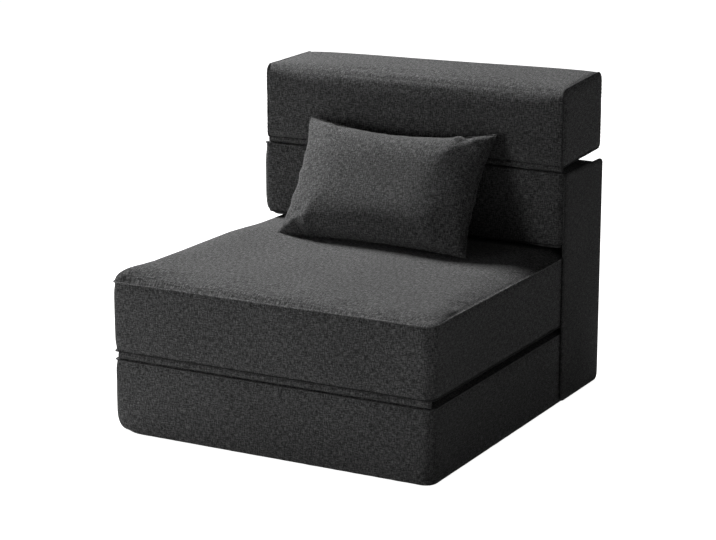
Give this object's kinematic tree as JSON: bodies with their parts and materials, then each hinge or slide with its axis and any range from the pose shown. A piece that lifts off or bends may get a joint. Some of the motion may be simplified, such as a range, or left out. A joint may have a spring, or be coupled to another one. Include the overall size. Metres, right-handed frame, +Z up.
{
  "type": "convertible chair bed",
  "caption": "Armless folding chair bed of hinged foam sections in dark charcoal woven fabric, with a side flap and a loose lumbar pillow; it unrolls into a flat bed.",
  "frame": {"origin": "on the floor, under the middle of the base section", "axes": "+Z up, +Y from the front of the seat to the rear, +X to the sitter's left, which is the right side seen from the front"},
  "size_m": [0.7133, 0.7919, 0.659],
  "materials": {
    "charcoal_fabric": "matte",
    "pillow_fabric": "matte",
    "foam": "matte",
    "filling": "matte",
    "anti_slip": "matte",
    "zip_tape": "matte",
    "zip_metal": "satin",
    "hook_and_loop": "matte"
  },
  "bodies": {
    "base": {"base_cover": "charcoal_fabric", "base_foam": "foam", "anti_slip_sheet": "anti_slip", "front_hinge_strip": "charcoal_fabric", "side_flap_foot": "charcoal_fabric", "base_zip": "zip_tape"},
    "seat": {"seat_cover": "charcoal_fabric", "seat_foam": "foam", "rear_hinge_strip": "charcoal_fabric", "seat_zip": "zip_tape", "seat_loop_tape": "hook_and_loop"},
    "lower_back": {"lower_back_cover": "charcoal_fabric", "lower_back_foam": "foam", "head_hinge_strip": "charcoal_fabric", "lower_back_zip": "zip_tape", "back_loop_tape": "hook_and_loop"},
    "head": {"head_cover": "charcoal_fabric", "head_foam": "foam", "head_zip": "zip_tape"},
    "side_flap": {"side_flap": "charcoal_fabric", "seat_hook_tape": "hook_and_loop", "back_hook_tape": "hook_and_loop"},
    "pillow": {"pillow_cover": "pillow_fabric", "pillow_filling": "filling", "pillow_zip": "zip_tape"},
    "base_zip_slider": {"base_zip_slider": "zip_metal"},
    "seat_zip_slider": {"seat_zip_slider": "zip_metal"},
    "lower_back_zip_slider": {"lower_back_zip_slider": "zip_metal"},
    "head_zip_slider": {"head_zip_slider": "zip_metal"}
  },
  "joints": [
    {"name": "seat_fold", "type": "hinge", "parent": "base", "child": "seat", "pos_m": [0, -0.397, 0.161], "axis": [1, 0, 0], "range_deg": [0, 180], "deforming": ["front_hinge_strip"]},
    {"name": "back_fold", "type": "hinge", "parent": "seat", "child": "lower_back", "pos_m": [0, 0.397, 0.3245], "axis": [-1, 0, 0], "range_deg": [0, 180], "deforming": ["rear_hinge_strip"]},
    {"name": "head_fold", "type": "hinge", "parent": "lower_back", "child": "head", "pos_m": [0, 0.191, 0.497], "axis": [1, 0, 0], "range_deg": [0, 180], "deforming": ["head_hinge_strip"]},
    {"name": "pillow_set_aside", "type": "hinge", "parent": "seat", "child": "pillow", "pos_m": [-0.38, 0.1, 0.322], "axis": [0, -1, 0], "range_deg": [0, 180]},
    {"name": "side_flap_open", "type": "hinge", "parent": "base", "child": "side_flap", "pos_m": [0.3574, 0.294, 0.1595], "axis": [0, 1, 0], "range_deg": [0, 118]},
    {"name": "base_zip_slide", "type": "slide", "parent": "base", "child": "base_zip_slider", "axis": [1, 0, 0], "range_m": [0, 0.53]},
    {"name": "seat_zip_slide", "type": "slide", "parent": "seat", "child": "seat_zip_slider", "axis": [0, -1, 0], "range_m": [0, 0.61]},
    {"name": "lower_back_zip_slide", "type": "slide", "parent": "lower_back", "child": "lower_back_zip_slider", "axis": [0, -1, 0], "range_m": [0, 0.1]},
    {"name": "head_zip_slide", "type": "slide", "parent": "head", "child": "head_zip_slider", "axis": [1, 0, 0], "range_m": [0, 0.53]}
  ],
  "couplings": [
    {"joint": "back_fold", "follows": "seat_fold", "ratio": 1},
    {"joint": "head_fold", "follows": "seat_fold", "ratio": 1},
    {"joint": "pillow_set_aside", "follows": "seat_fold", "ratio": 1}
  ]
}
